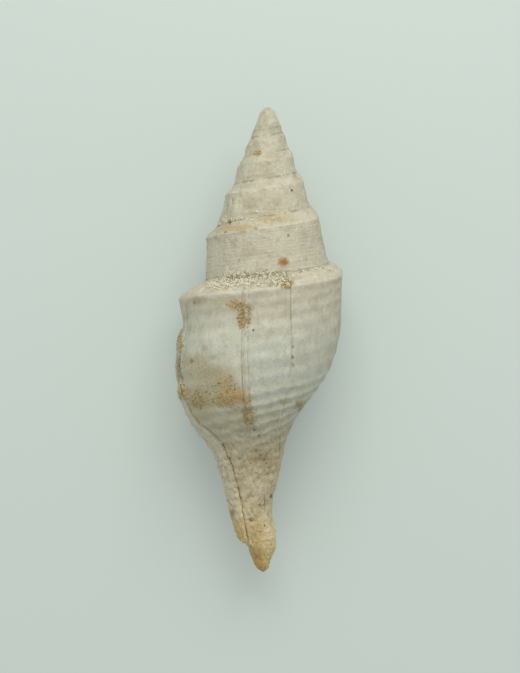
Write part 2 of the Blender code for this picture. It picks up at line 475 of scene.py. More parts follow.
@dataclass(frozen=True)
class Growth:
    """How the shell grew, in millimetres.

    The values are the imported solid's, but for its slimmer canal, more pointed tip and worn ledge.
    """

    shoulder_radius: float = 15.0
    shoulder_level: float = 34.6
    radius_growth: float = 1.42
    level_growth: float = 1.43
    worn_top_level: float = 2.1
    dome: tuple[Pair, ...] = ((1.40, 3.32), (1.00, 2.62), (0.63, 2.28), (0.30, 2.13))
    tip_level: float = 81.45
    mouth_end: float = 77.4
    tuck: float = 0.75
    tuck_place: float = 0.42
    lip_turns: float = LIP_TURNS
    spread_turns: float = 0.45
    spire_turns: int = 5
    drift: tuple[Point, ...] = (
        (-0.20, 0.000, 0.000), (0.00, 0.000, 0.000), (0.25, 0.000, 0.014), (0.50, 0.005, 0.028),
        (0.78, 0.045, 0.014), (1.00, -0.015, 0.000), (1.50, -0.045, 0.000), (3.00, -0.060, 0.000),
        (5.00, -0.080, 0.000), (9.00, -0.080, 0.000),
    )
    ledge: tuple[Point, ...] = (
        (-0.20, 0.69, 0.092), (0.00, 0.70, 0.090), (0.25, 0.76, 0.072), (0.50, 0.81, 0.058),
        (1.00, 0.83, 0.080), (2.00, 0.82, 0.095), (4.00, 0.82, 0.110),
    )
    lines: tuple[BodyLine, ...] = (
        BodyLine(LIP_TURNS, (15.9, 47.0), (15.6, 45.4), (12.5, 38.5), None),
        BodyLine(LIP_TURNS, (15.1, 52.6), (14.9, 51.5), (11.0, 45.2), (10.6, 38.2)),
        BodyLine(-0.125, (12.9, 57.0), (12.7, 56.2), (8.7, 48.8), (8.6, 42.3)),
        BodyLine(-0.145, (9.6, 61.4), (9.6, 60.6), (5.9, 52.3), (6.3, 47.0)),
        BodyLine(-0.175, (7.6, 65.6), (7.85, 65.0), (3.45, 56.8), (4.1, 52.6)),
        BodyLine(-0.195, (6.0, 69.8), (6.65, 68.6), (2.25, 62.8), (2.8, 59.7)),
        BodyLine(-0.195, (4.9, 73.6), (5.1, 73.0), (1.3, 69.7), (1.8, 68.2), 0.2),
        BodyLine(-0.185, (3.6, 76.2), (2.7, 76.0), (2.3, 75.0), (2.3, 75.1), 1.0),
        BodyLine(LIP_TURNS, (2.55, 76.6), (2.55, 76.6), (2.35, 77.0), (2.45, 76.8)),
        BodyLine(LIP_TURNS, (1.75, 79.2), (1.75, 79.2), (1.4, 79.2), (1.75, 79.2)),
        BodyLine(LIP_TURNS, (1.1, 80.8), (1.1, 80.8), (0.75, 80.8), (1.1, 80.8)),
    )

    @property
    def covered_turns(self) -> float:
        """Where the last whorl starts, under its own lip."""
        return 1.0 + self.lip_turns

    def shoulder(self, turns: float) -> Pair:
        """Finds the shoulder.

        Args:
            turns: how far up the coil.

        Returns:
            Its (radius, level).
        """
        stations, outwards, down = zip(*self.drift)
        radius = self.shoulder_radius * self.radius_growth**-turns
        level = self.shoulder_level * self.level_growth**-turns
        radius *= 1.0 + float(curve_through(stations, outwards, turns))
        level *= 1.0 + float(curve_through(stations, down, turns))
        return radius, level

    def seam(self, turns: float) -> Pair:
        """Finds the seam above the shoulder.

        Args:
            turns: how far up the coil.

        Returns:
            Its (radius, level).
        """
        radius, level = self.shoulder(turns)
        stations, shares, drops = zip(*self.ledge)
        share = float(curve_through(stations, shares, turns))
        drop = float(curve_through(stations, drops, turns))
        return radius * share, level * (1.0 - drop)

    def body_line(self, line: BodyLine, turns: float) -> Pair:
        """Follows a line of the last whorl, an off-centre circle from its left to its right.

        Args:
            line: the line.
            turns: how far round.

        Returns:
            Its (radius, level) there.
        """
        covered = line.covered or self.seam(self.lip_turns)
        left, right = line.left, line.right
        stations = (line.lip_turns, 0.0, 0.5, self.covered_turns)
        levels = (line.lip[1], left[1], right[1], covered[1])
        level = float(curve_through(stations, levels, turns))
        angle = TAU * turns
        offset = (left[0] - right[0]) / 2.0
        middle = (left[0] + right[0]) / 2.0
        radius = offset * math.cos(angle) + math.sqrt(middle**2 - (offset * math.sin(angle)) ** 2)
        radius += line.flap * float(ease(0.145, 0.112, turns))
        if turns < 0.0:
            at_left = left[0] + line.flap
            radius = at_left + (line.lip[0] - at_left) * float(ease(0.0, line.lip_turns, turns))
        if turns > 0.5:
            share = float(ease(0.5, self.covered_turns, turns))
            radius = right[0] + (covered[0] - right[0]) * share
        return radius, level

    def upper_guides(self, turns: float, bottom: Point, tuck: float = 0.0) -> Rows:
        """Guides from a whorl's seam over its shoulder to a bottom row.

        Args:
            turns: how far up the coil.
            bottom: the bottom row.
            tuck: how far the wall's middle is drawn in.

        Returns:
            Rows of (radius, level, turns).
        """
        top, edge = (*self.seam(turns), turns), (*self.shoulder(turns), turns)
        middle = [a + (b - a) * self.tuck_place for a, b in zip(edge, bottom)]
        middle[0] -= tuck
        return np.array([top, edge, middle, bottom])

    def spire_guides(self, turns: float) -> Rows:
        """Rows of (radius, level, turns) down a spire whorl."""
        return self.upper_guides(turns, (*self.seam(turns - 1.0), turns))

    def body_guides(self, from_lip: float) -> Rows:
        """Guides down the last whorl, from its seam to its tip.

        Args:
            from_lip: how far behind the lip, in turns.

        Returns:
            Rows of (radius, level, turns).
        """
        turns = self.lip_turns + from_lip
        hurry = float(ease(self.spread_turns, 0.0, from_lip))
        rows = []
        for line in self.lines:
            line_turns = turns + (line.lip_turns - self.lip_turns) * hurry
            rows.append((*self.body_line(line, line_turns), line_turns))
        tuck = self.tuck * float(ease(self.spread_turns, 0.0, turns))
        upper = self.upper_guides(turns, rows[0], tuck)
        return np.concatenate([upper, rows[1:], [(0.0, self.tip_level, turns)]])

    @staticmethod
    def outline(guides: Rows, places: np.ndarray) -> Rows:
        """The smooth outline through the guides, where place 0 is the first guide."""
        knots = np.arange(len(guides))
        return np.column_stack([curve_through(knots, column, places) for column in guides.T])

    def body_section(self, from_lip: float, places: np.ndarray) -> Rows:
        """The smooth section down the last whorl.

        Args:
            from_lip: how far behind the lip, in turns.
            places: the places to read, where 0 is the seam.

        Returns:
            Rows of (radius, level, turns).
        """
        guides = self.body_guides(from_lip)
        section = self.outline(guides, places)
        upper = places <= WALL_FOOT
        as_spire = self.outline(guides[:4], places[upper])
        section[upper] = as_spire + (section[upper] - as_spire) * ease(1.0, 0.6, from_lip)
        return section


@dataclass(frozen=True)
class Hollow:
    """The space behind the mouth, in millimetres."""

    growth: Growth
    wall: float = 1.15
    canal_wall: float = 0.85
    callus: float = 0.35
    depth_turns: float = 0.34
    least_gap: float = 0.7
    column_levels: tuple[float, ...] = (0.0, 50.0, 60.0, 70.0, 82.0)
    column_radii: tuple[float, ...] = (0.0, 3.3, 2.7, 2.25, 2.25)
    spans: int = 60
    canal_levels: Pair = (58.0, 70.0)
    place_samples: int = 400
    level_samples: int = 500

    def section(self, from_lip: float) -> tuple[Rows, Rows]:
        """Rows down the hollow's outer wall and down its inner one.

        Args:
            from_lip: how far behind the lip, in turns.

        Returns:
            Two sets of rows of (radius, level, turns).
        """
        last = len(self.growth.lines) + WALL_FOOT
        places = np.linspace(0.0, last, self.place_samples)
        section = self.growth.body_section(from_lip, places)
        covered = self.growth.body_section(1.0, places)
        grown = self.growth.level_growth**-from_lip
        level = np.linspace(section[0, 1], self.growth.mouth_end, self.level_samples)
        wall = self.wall + (self.canal_wall - self.wall) * ease(*self.canal_levels, level)
        here = np.interp(level, section[:, 1], section[:, 0])
        above = np.interp(level - self.wall, section[:, 1], section[:, 0])
        outer = np.minimum(here, above) - wall
        before = np.interp(level, covered[:, 1] * grown, covered[:, 0] * grown)
        column = np.interp(level, self.column_levels, self.column_radii)
        inner = np.maximum(before, column) + self.callus
        turns = np.interp(level, section[:, 1], section[:, 2])
        wide = level[outer - inner > self.least_gap]
        at = np.linspace(wide[0], wide[-1], self.spans + 1)
        return tuple(
            np.column_stack([np.interp(at, level, column) for column in (radius, level, turns)])
            for radius in (outer, inner)
        )


@dataclass
class SkinChart:
    """The shell's skin drawn flat, as a mesh whose corners are (radius, level, turns)."""

    growth: Growth = field(default_factory=Growth)
    steps_per_turn: int = 280
    spans: tuple[tuple[int, int], ...] = ((13, 20), (12, 44), (10, 30), (9, 20), (7, 13), (5, 9))
    body_spans: int = 112
    hollow_steps: int = 26
    points: list[Rows] = field(default_factory=list)
    places: list[np.ndarray] = field(default_factory=list)
    skins: list[np.ndarray] = field(default_factory=list)
    faces: list[tuple[int, ...]] = field(default_factory=list)
    count: int = 0
    hidden_density: float = 0.62
    shown_density: float = 0.76
    lip_density: float = 1.4
    lips_at: tuple[Pair, ...] = ((0.08, 0.035), (0.205, 0.014), (0.295, 0.012))
    wall_spread: float = 1.15

    def row(self, rows: Rows, places: np.ndarray | float, outside: float) -> list[int]:
        """Adds a row of corners.

        Args:
            rows: (radius, level, turns) of each corner.
            places: each corner's place down the whorl.
            outside: 1 on the shell's outside and 0 in its hollow.

        Returns:
            The corners' numbers.
        """
        rows = np.asarray(rows, float)
        self.points.append(rows)
        self.places.append(np.broadcast_to(places, len(rows)))
        self.skins.append(np.full(len(rows), outside))
        self.count += len(rows)
        return list(range(self.count - len(rows), self.count))

    def band(self, first: Sequence[int], second: Sequence[int]) -> None:
        """Joins two rows of corners with faces."""
        self.faces.extend(zip(first, first[1:], second[1:], second))

    def zipped(
        self, first: Sequence[int], second: Sequence[int], keys: Sequence[Sequence[float]]
    ) -> None:
        """Joins two rows of different lengths with triangles.

        Args:
            first: one row's corners.
            second: the other row's corners.
            keys: for each row, a rising number at each corner, which says how they pair up.
        """
        i, j = 0, 0
        while i < len(first) - 1 or j < len(second) - 1:
            next_first = keys[0][i + 1] if i < len(first) - 1 else math.inf
            next_second = keys[1][j + 1] if j < len(second) - 1 else math.inf
            if next_first <= next_second:
                self.faces.append((first[i], first[i + 1], second[j]))
                i += 1
            else:
                self.faces.append((first[i], second[j + 1], second[j]))
                j += 1

    def stations(self) -> np.ndarray:
        """Spreads a turn's steps, closest together on the side that faces up and at old lips.

        Returns:
            Each step's turns behind the lip.
        """
        fine = np.linspace(0.0, 1.0, 2001)
        turns = fine + self.growth.lip_turns
        shown = ease(-0.08, 0.04, turns) * ease(0.58, 0.46, turns)
        density = self.hidden_density + self.shown_density * shown
        for centre, width in self.lips_at:
            density = density + self.lip_density * np.exp(-(((turns - centre) / width) ** 2))
        reached = np.concatenate([[0.0], np.cumsum((density[1:] + density[:-1]) / 2.0)])
        even = np.linspace(0.0, reached[-1], self.steps_per_turn + 1)
        return np.interp(even, reached, fine)

    def upper_places(self, whorl: int) -> np.ndarray:
        """Places from a whorl's seam over its shoulder to its bottom.

        Args:
            whorl: which whorl, where 0 is the last.

        Returns:
            The places.
        """
        ledge_spans, wall_spans = self.spans[whorl]
        ledge = np.linspace(0.0, 1.0, ledge_spans + 1)
        wall = 1.0 + 2.0 * np.linspace(0.0, 1.0, wall_spans + 1) ** self.wall_spread
        return np.concatenate([ledge, wall[1:]])

    def body_places(self) -> np.ndarray:
        """Spreads places down the last whorl.

        Returns:
            The places, from its seam to its tip.
        """
        guides = self.growth.body_guides(-self.growth.lip_turns)[3:]
        reached = np.concatenate([[0.0], np.cumsum(np.hypot(*np.diff(guides[:, :2], axis=0).T))])
        even = np.linspace(0.0, reached[-1], self.body_spans + 1)
        rest = WALL_FOOT + np.interp(even, reached, np.arange(len(guides)))
        return np.concatenate([self.upper_places(0), rest[1:]])

    def draw_outside(self) -> tuple[list[int], list[int]]:
        """Draws the spire, the last whorl and the worn top.

        Returns:
            The corners along the lip, and those of the wall that the lip covers.
        """
        growth = self.growth
        stations = self.stations()[::-1]
        spire = []
        for whorl in range(growth.spire_turns, 0, -1):
            for station in stations[1:] if spire else stations:
                places = self.upper_places(whorl if station > 0.0 else whorl - 1)
                guides = growth.spire_guides(growth.lip_turns + whorl + station)
                spire.append((self.row(growth.outline(guides, places), places, OUTSIDE), places))
        places = self.body_places()
        body = []
        for station in stations[:-1]:
            section = growth.body_section(station, places)
            body.append((self.row(section, places, OUTSIDE), places))
        covered = body[0][0]
        section = growth.body_section(0.0, places)
        end = int(np.searchsorted(section[:, 1], growth.mouth_end))
        lip = self.row(section[:end], places[:end], OUTSIDE) + covered[end:]
        body.append((lip, places))
        for rows in (spire, body):
            for (first, first_at), (second, second_at) in zip(rows, rows[1:]):
                if len(first) == len(second):
                    self.band(first, second)
                else:
                    self.zipped(first, second, (first_at, second_at))
        self.draw_top([row for row, _ in spire[: self.steps_per_turn + 1]])
        return lip[: end + 1], covered[sum(self.spans[0]) : end + 1]

    def draw_top(self, first_whorl: list[list[int]]) -> None:
        """Closes the coil's start with a low worn dome.

        Args:
            first_whorl: the rows of the spire's first whorl.
        """
        growth = self.growth
        turns = growth.covered_turns + growth.spire_turns - 1.0 + self.stations()[:0:-1]
        rim = [row[0] for row in first_whorl] + first_whorl[0][-2:0:-1]
        rings = []
        for radius, level in growth.dome:
            ring = self.row([(radius, level, at) for at in turns], TOP_PLACE, OUTSIDE)
            rings.append(ring + ring[:1])
        apex = self.row([(0.0, growth.worn_top_level, 0.0)], TOP_PLACE, OUTSIDE)[0]
        rim.append(rim[0])
        ends = np.linspace(0.0, 1.0, len(rim)), np.linspace(0.0, 1.0, len(rings[0]))
        self.zipped(rim, rings[0], ends)
        for first, second in zip(rings, rings[1:]):
            self.band(first, second)
        self.faces.extend((a, b, apex) for a, b in zip(rings[-1], rings[-1][1:]))

    def draw_hollow(self, lip: list[int], covered: list[int]) -> None:
        """Draws the mouth's rim and the walls of the hollow behind it.

        Args:
            lip: the corners along the lip.
            covered: those of the wall that the lip covers.
        """
        hollow = Hollow(self.growth)
        loops = []
        for from_lip in np.linspace(0.0, hollow.depth_turns, self.hollow_steps + 1):
            outer, inner = hollow.section(float(from_lip))
            loops.append([self.row(wall, HOLLOW_PLACE, INSIDE) for wall in (outer, inner)])
        closed = [outer + inner[::-1] + outer[:1] for outer, inner in loops]
        for first, second in zip(closed, closed[1:]):
            self.band(first, second)
        self.band(*loops[-1])
        levels = np.concatenate(self.points)[:, 1]
        outer, inner = loops[0]
        self.zipped(lip, outer, (levels[lip], levels[outer]))
        self.zipped(inner, covered, (levels[inner], levels[covered]))
        self.faces.append((outer[0], inner[0], lip[0]))
        self.faces.append((inner[-1], outer[-1], lip[-1]))

    def mesh(self) -> bpy.types.Mesh:
        """Draws the whole chart.

        Returns:
            Its mesh, with each corner's place and skin stored on it.
        """
        lip, covered = self.draw_outside()
        self.draw_hollow(lip, covered)
        mesh = bpy.data.meshes.new("skin_chart")
        mesh.from_pydata(np.concatenate(self.points), [], [face[::-1] for face in self.faces])
        for name, values in (("place", self.places), ("outside", self.skins)):
            stored = mesh.attributes.new(name, "FLOAT", "POINT")
            stored.data.foreach_set("value", np.concatenate(values).astype(np.float32))
        return mesh


# Relief and coiling


@dataclass(frozen=True)
class Relief:
    """Heights of what stands out of the skin or is worn into it, in millimetres."""

    cords_per_place: float = 2.35
    cord_height: float = 0.19
    shoulder_rim: float = 0.16
    ramp_depth: float = 0.30
    ramp_roughness: float = 0.9
    growth_lines: float = 0.22
    canal_beads: float = 0.29
    lumps: float = 0.6
    grain: float = 0.26
    seam_rubble: float = 0.32
    crust: float = 0.55
    tip_roughness: float = 0.9
    lips: tuple[OldLip, ...] = (
        OldLip(
            "newest_lip",
            (
                (30.0, 0.05), (49.0, 0.053), (53.5, 0.058), (57.3, 0.093),
                (61.6, 0.103), (65.3, 0.107), (70.3, 0.117), (77.0, 0.130),
            ),
            (36.0, 75.4),
            -0.16,
            0.0,
            ((0.0, 0.15, 0.26),),
        ),
        OldLip(
            "middle_lip",
            ((30.0, 0.206), (48.0, 0.206), (54.0, 0.201), (60.0, 0.196), (80.0, 0.19)),
            (32.0, 57.0),
            0.14,
            0.16,
            ((0.55, 0.13, 0.08), (-0.6, 0.12, 0.06)),
        ),
        OldLip(
            "oldest_lip",
            (
                (27.0, 0.300), (33.0, 0.296), (45.0, 0.298),
                (53.0, 0.282), (61.0, 0.310), (80.0, 0.34),
            ),
            (27.0, 64.0),
            0.2,
            0.08,
            ((0.1, 0.16, 0.07),),
        ),
    )
    crust_patches: tuple[Patch, ...] = patches(
        (-13.4, 0.2, 0.6, 2.1), (-13.5, -4.6, 0.5, 2.8, 0.6), (-12.9, -8.6, 0.7, 1.4)
    )


@dataclass(frozen=True)
class Pose:
    """How the shell lies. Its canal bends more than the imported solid's, and its tip leans back."""

    dip_deg: float = 3.9
    coil_start: Point = (1.46, 41.56, AXIS_HEIGHT)
    canal_bend: float = -1.15
    bend_levels: Pair = (59.0, 80.0)
    tip_lean: float = 0.4
    lean_levels: Pair = (76.5, 82.0)


class CoilTree(GrowingTree):
    """Coils the flat skin about the axis, welds it and raises its relief."""

    def __init__(self, pose: Pose, relief: Relief, finish: bpy.types.Material) -> None:
        """Builds the tree.

        Args:
            pose: how the shell lies.
            relief: what stands out of its skin.
            finish: its material.
        """
        super().__init__("coil_the_skin")
        self.pose = pose
        self.amounts: dict[str, Field] = {}
        for name, amount in vars(relief).items():
            if isinstance(amount, float):
                self.amounts[name] = self.size(name, amount)
        corner = self.add("GeometryNodeInputPosition", {})
        self.radius, self.level, self.turns = (corner.part(i) for i in range(3))
        self.place = self.attribute("place")
        whorl = (self.turns - LIP_TURNS).math("FLOOR").math("MAXIMUM", 0.0)
        self.round = self.turns - whorl
        self.last = 1.0 - whorl.math("MINIMUM", 1.0)
        self.at = self.coiled()
        self.height: Field | None = None
        self.cords()
        self.shoulder_rim()
        self.worn_ramp()
        self.growth_lines()
        self.canal_beads()
        self.wear()
        self.crust(relief.crust_patches)
        self.tip()
        stored = {"turns": self.round, "level": self.level, "last_whorl": self.last}
        for lip in relief.lips:
            stored[lip.name] = self.beyond(lip)
            self.healed_lip(lip, stored[lip.name])
        stored["relief"] = self.height * self.attribute("outside")
        geometry = self.geometry()
        for name, value in stored.items():
            geometry = self.store(geometry, name, value)
        geometry = self.placed(geometry, Position=self.at.scaled(MM))
        weld = {"Geometry": geometry, "Distance": WELD * MM}
        geometry = self.add("GeometryNodeMergeByDistance", weld)
        normal = self.add("GeometryNodeInputNormal", {})
        geometry = self.placed(geometry, Offset=normal.scaled(self.attribute("relief") * MM))
        now = self.add("GeometryNodeInputPosition", {})
        on_table = now.part(2).math("MAXIMUM", 0.0)
        geometry = self.placed(geometry, Position=self.vector(now.part(0), now.part(1), on_table))
        geometry = self.add("GeometryNodeSetShadeSmooth", {"Geometry": geometry})
        self.end_with(geometry, finish)

    def placed(self, geometry: Field, **move: Field) -> Field:
        """Moves the geometry's points to a Position or by an Offset, and returns it."""
        return self.add("GeometryNodeSetPosition", {"Geometry": geometry, **move})

    def coiled(self) -> Field:
        """Coils the chart.

        Returns:
            Where each of its corners lies in space, in millimetres.
        """
        pose = self.pose
        start = [self.size(f"Coil start {axis}", at) for axis, at in zip("XYZ", pose.coil_start)]
        dip = self.size("Dip", math.radians(pose.dip_deg))
        bend = self.size("Canal bend", pose.canal_bend)
        lean = self.size("Tip lean", pose.tip_lean)
        angle = self.turns * TAU
        across = bend * self.ease(*pose.bend_levels, self.level) - self.radius * angle.cos()
        across = across + lean * self.ease(*pose.lean_levels, self.level)
        up = self.radius * angle.sin()
        along = self.level * dip.cos() + up * dip.sin()
        height = up * dip.cos() - self.level * dip.sin()
        return self.vector(start[0] + across, start[1] - along, start[2] + height)

    def lift(self, height: Field) -> None:
        """Adds a height in millimetres to the skin's relief."""
        self.height = self.height + height if self.height else height

    def rough(self, *noise: float) -> Field:
        """Noise about 0, from its scale, detail and roughness."""
        return self.noise(self.at, *noise) - 0.5

    def cords(self) -> None:
        """Low rounded cords round the last whorl, strongest where it narrows."""
        wobble = self.rough(0.22) * 0.5
        count = self.place * self.amounts["cords_per_place"]
        wave = ((count + wobble + 0.37) * TAU).cos() * 0.5 + 0.5
        standing = self.ease(1.1, 1.7, self.place) * self.ease(7.4, 5.6, self.place)
        panel = 0.25 + self.ease(0.19, 0.215, self.turns) * 0.75
        right = 1.0 - self.ease(0.29, 0.34, self.turns) * 0.35
        base = self.ease(3.8, 4.8, self.place) * 0.75
        strong = panel * right * (self.noise(self.at, 0.16) * 1.6 - 0.1) + base
        self.lift((wave**1.8 - 0.4) * standing * strong * self.last * self.amounts["cord_height"])

    def shoulder_rim(self) -> None:
        """A low uneven rim along each shoulder."""
        broken = self.noise(self.at, 0.7) * 2.2 - 0.35
        small = self.ease(1.8, 2.6, self.turns) * 0.8
        rim = self.ridge(self.place, RIM_PLACE, 0.13) * (broken - small)
        self.lift(rim * self.amounts["shoulder_rim"])

    def worn_ramp(self) -> None:
        """The last whorl's ledge, worn rough where it faces up."""
        up = self.window(self.round, 0.10, 0.292, 0.012)
        where = up * self.window(self.place, 0.1, 0.8, 0.1) * self.last
        pits = self.rough(1.5, 3.0, 0.7) * self.amounts["ramp_roughness"]
        self.lift(where * (pits - self.amounts["ramp_depth"]))

    def growth_lines(self) -> None:
        """Fine lines that run down the whorls, along older lips."""
        lean = self.turns + self.ease(48.0, 62.0, self.level) * 0.03
        along = self.vector(lean * 110.0, self.place * 0.35, self.radius * 0.02)
        faded = 0.35 + self.ease(0.30, 0.36, self.turns) * 0.5
        self.lift((self.noise(along, 1.0) - 0.5) * self.amounts["growth_lines"] * faded)

    def canal_beads(self) -> None:
        """Uneven beads on the canal, where cords and growth lines cross."""
        where = self.window(self.level, 57.0, 74.0, 6.0) * self.last
        lumps = self.ease(0.0, 0.42, self.canal_net(self.at)) - 0.6
        lumps = lumps * (self.noise(self.at, 0.5, 1.0) * 2.4 - 0.4)
        rows = (self.level * (TAU / 1.35) + self.rough(0.35) * 7.0).cos()
        self.lift((lumps + rows * 0.16) * where * self.amounts["canal_beads"])

    def wear(self) -> None:
        """Broad unevenness, small lumps, a fine grain and rubble in the spire's seams."""
        lumps, grain = self.amounts["lumps"], self.amounts["grain"]
        spire_lumps = self.rough(0.42) * lumps * self.ease(0.9, 1.9, self.turns)
        spire = self.ease(0.8, 1.0, self.turns)
        coarse = 0.45 + spire * 0.55 + self.ease(46.0, 56.0, self.level) * 0.4
        fine = self.rough(1.6, 3.0, 0.65) * grain * coarse
        seams = self.ridge(self.place, 0.0, 0.3) + self.ridge(self.place, WALL_FOOT, 0.16)
        rubble = seams * spire * (self.noise(self.at, 0.9, 3.0, 0.65) - 0.3)
        worn = self.rough(0.11, 1.0) * lumps + spire_lumps + fine
        self.lift(worn + rubble * self.amounts["seam_rubble"])

    def crust(self, places: Sequence[Patch]) -> None:
        """Lumps of hard sediment that still stick to the left edge."""
        where = self.ovals(self.ragged(self.at, 0.9, 0.8), places)
        self.lift(where * (0.35 + self.noise(self.at, 1.3, 3.0)) * self.amounts["crust"])

    def tip(self) -> None:
        """The canal's end, worn rough."""
        where = self.ease(73.0, 77.0, self.level) * self.ease(81.4, 80.4, self.level) * self.last
        self.lift(self.rough(1.4, 4.0, 0.7) * where * self.amounts["tip_roughness"])

    def beyond(self, lip: OldLip) -> Field:
        """Measures from an old lip.

        Args:
            lip: the old lip.

        Returns:
            How far a place lies past it, on its newer side, in millimetres.
        """
        wobble = self.rough(0.35) * 0.004 + self.rough(1.5) * 0.0022
        passed = self.path(self.level, lip.path) - self.round + wobble
        return (passed * self.radius * TAU).math("MINIMUM", LIP_REACH).math("MAXIMUM", -LIP_REACH)

    def healed_lip(self, lip: OldLip, beyond: Field) -> None:
        """One old lip: its ridge, the grooves beside it and the step that the shell healed over.

        Args:
            lip: the old lip.
            beyond: how far a place lies past it.
        """
        height = self.ease(-0.10, 0.16, beyond) * self.ease(LIP_REACH, 0.6, beyond) * -lip.step
        height = height + self.ridge(beyond, 0.0, 0.42) * lip.ridge
        for centre, width, depth in lip.grooves:
            height = height - self.ridge(beyond, centre, width) * depth
        shown = self.window(self.level, *lip.ends, 1.2) * self.ease(0.1, 0.9, self.place)
        self.lift(height * shown * self.last)


# Finishes


class FinishSheet(NodeSheet):
    """Makes a finish's material and draws its nodes."""

    def __init__(self, name: str) -> None:
        """Makes the material.

        Args:
            name: what it is called.
        """
        self.material = bpy.data.materials.new(name)
        self.material.use_nodes = True
        super().__init__(self.material.node_tree)
        self.shader = self.tree.nodes["Principled BSDF"]
        self.at = self.add("ShaderNodeTexCoord", {}, out="Object").scaled(1.0 / MM)

    def attribute(self, name: str) -> Field:
        """A number stored on the mesh."""
        return self.add("ShaderNodeAttribute", {}, out="Fac", attribute_name=name)

    def surface(
        self, colour: Value, roughness: Value, height: Field, depth: float
    ) -> bpy.types.Material:
        """Ends the finish.

        Args:
            colour: the base colour.
            roughness: how matt it is.
            height: its finest relief, from 0 to 1.
            depth: what a height of 1 stands for, in millimetres.

        Returns:
            The finished material.
        """
        bump = self.add("ShaderNodeBump", {"Height": height, "Distance": depth * MM})
        self.wire(colour, self.shader.inputs["Base Color"])
        self.wire(roughness, self.shader.inputs["Roughness"])
        self.wire(bump, self.shader.inputs["Normal"])
        self.shader.inputs["Specular IOR Level"].default_value = SHEEN
        return self.material


class Tint(Enum):
    """Colours on the shell."""

    CREAM = paint(191, 186, 165)
    PALE = paint(190, 193, 177)
    BASE_GREY = paint(178, 174, 149)
    CANAL_TAN = paint(194, 181, 149)
    TIP_ORANGE = paint(222, 195, 126)
    TIP_TAN = paint(216, 202, 164)
    SAND = paint(179, 156, 101)
    OCHRE = paint(162, 145, 107)
    HAZE = paint(174, 162, 124)
    ORANGE = paint(154, 108, 52)
    GOLD = paint(186, 158, 100)
    AMBER = paint(172, 146, 104)
    BROWN = paint(112, 88, 54)
    DARK = paint(58, 48, 36)
    MAUVE = paint(150, 143, 134)
    CHALK = paint(220, 216, 196)
    ROSE = paint(179, 171, 156)
    OLIVE = paint(140, 130, 98)


class StainAndLightPatches(NamedTuple):
    """One tint's patches and how strongly they show."""

    tint: Tint
    strength: float
    places: tuple[Patch, ...]


GROUND = (
    (0.0, Tint.CREAM), (34.0, Tint.CREAM), (40.0, Tint.PALE), (50.0, Tint.PALE),
    (57.0, Tint.BASE_GREY), (62.0, Tint.CANAL_TAN), (67.0, Tint.CANAL_TAN),
    (71.5, Tint.TIP_TAN), (80.0, Tint.TIP_ORANGE),
)
FRAYED = (Tint.SAND, Tint.ORANGE, Tint.MAUVE, Tint.BROWN, Tint.DARK)
LIP_LINES = (
    # The newest lip's dark line is a painted shadow of the crevice at its step; the brown lines are
    # dirt.
    ("newest_lip", 0.0, 0.065, 38.0, 75.6, 0.85, Tint.DARK),
    ("middle_lip", 0.55, 0.08, 33.0, 47.0, 0.45, Tint.BROWN),
    ("middle_lip", 0.50, 0.10, 46.0, 54.0, 0.45, Tint.BROWN),
    ("middle_lip", -0.58, 0.07, 33.0, 55.0, 0.4, Tint.BROWN),
    ("oldest_lip", 0.1, 0.09, 28.0, 47.0, 0.4, Tint.BROWN),
    ("oldest_lip", 0.9, 0.06, 28.0, 36.0, 0.3, Tint.BROWN),
    ("oldest_lip", -0.5, 0.08, 50.0, 64.0, 0.35, Tint.BROWN),
)
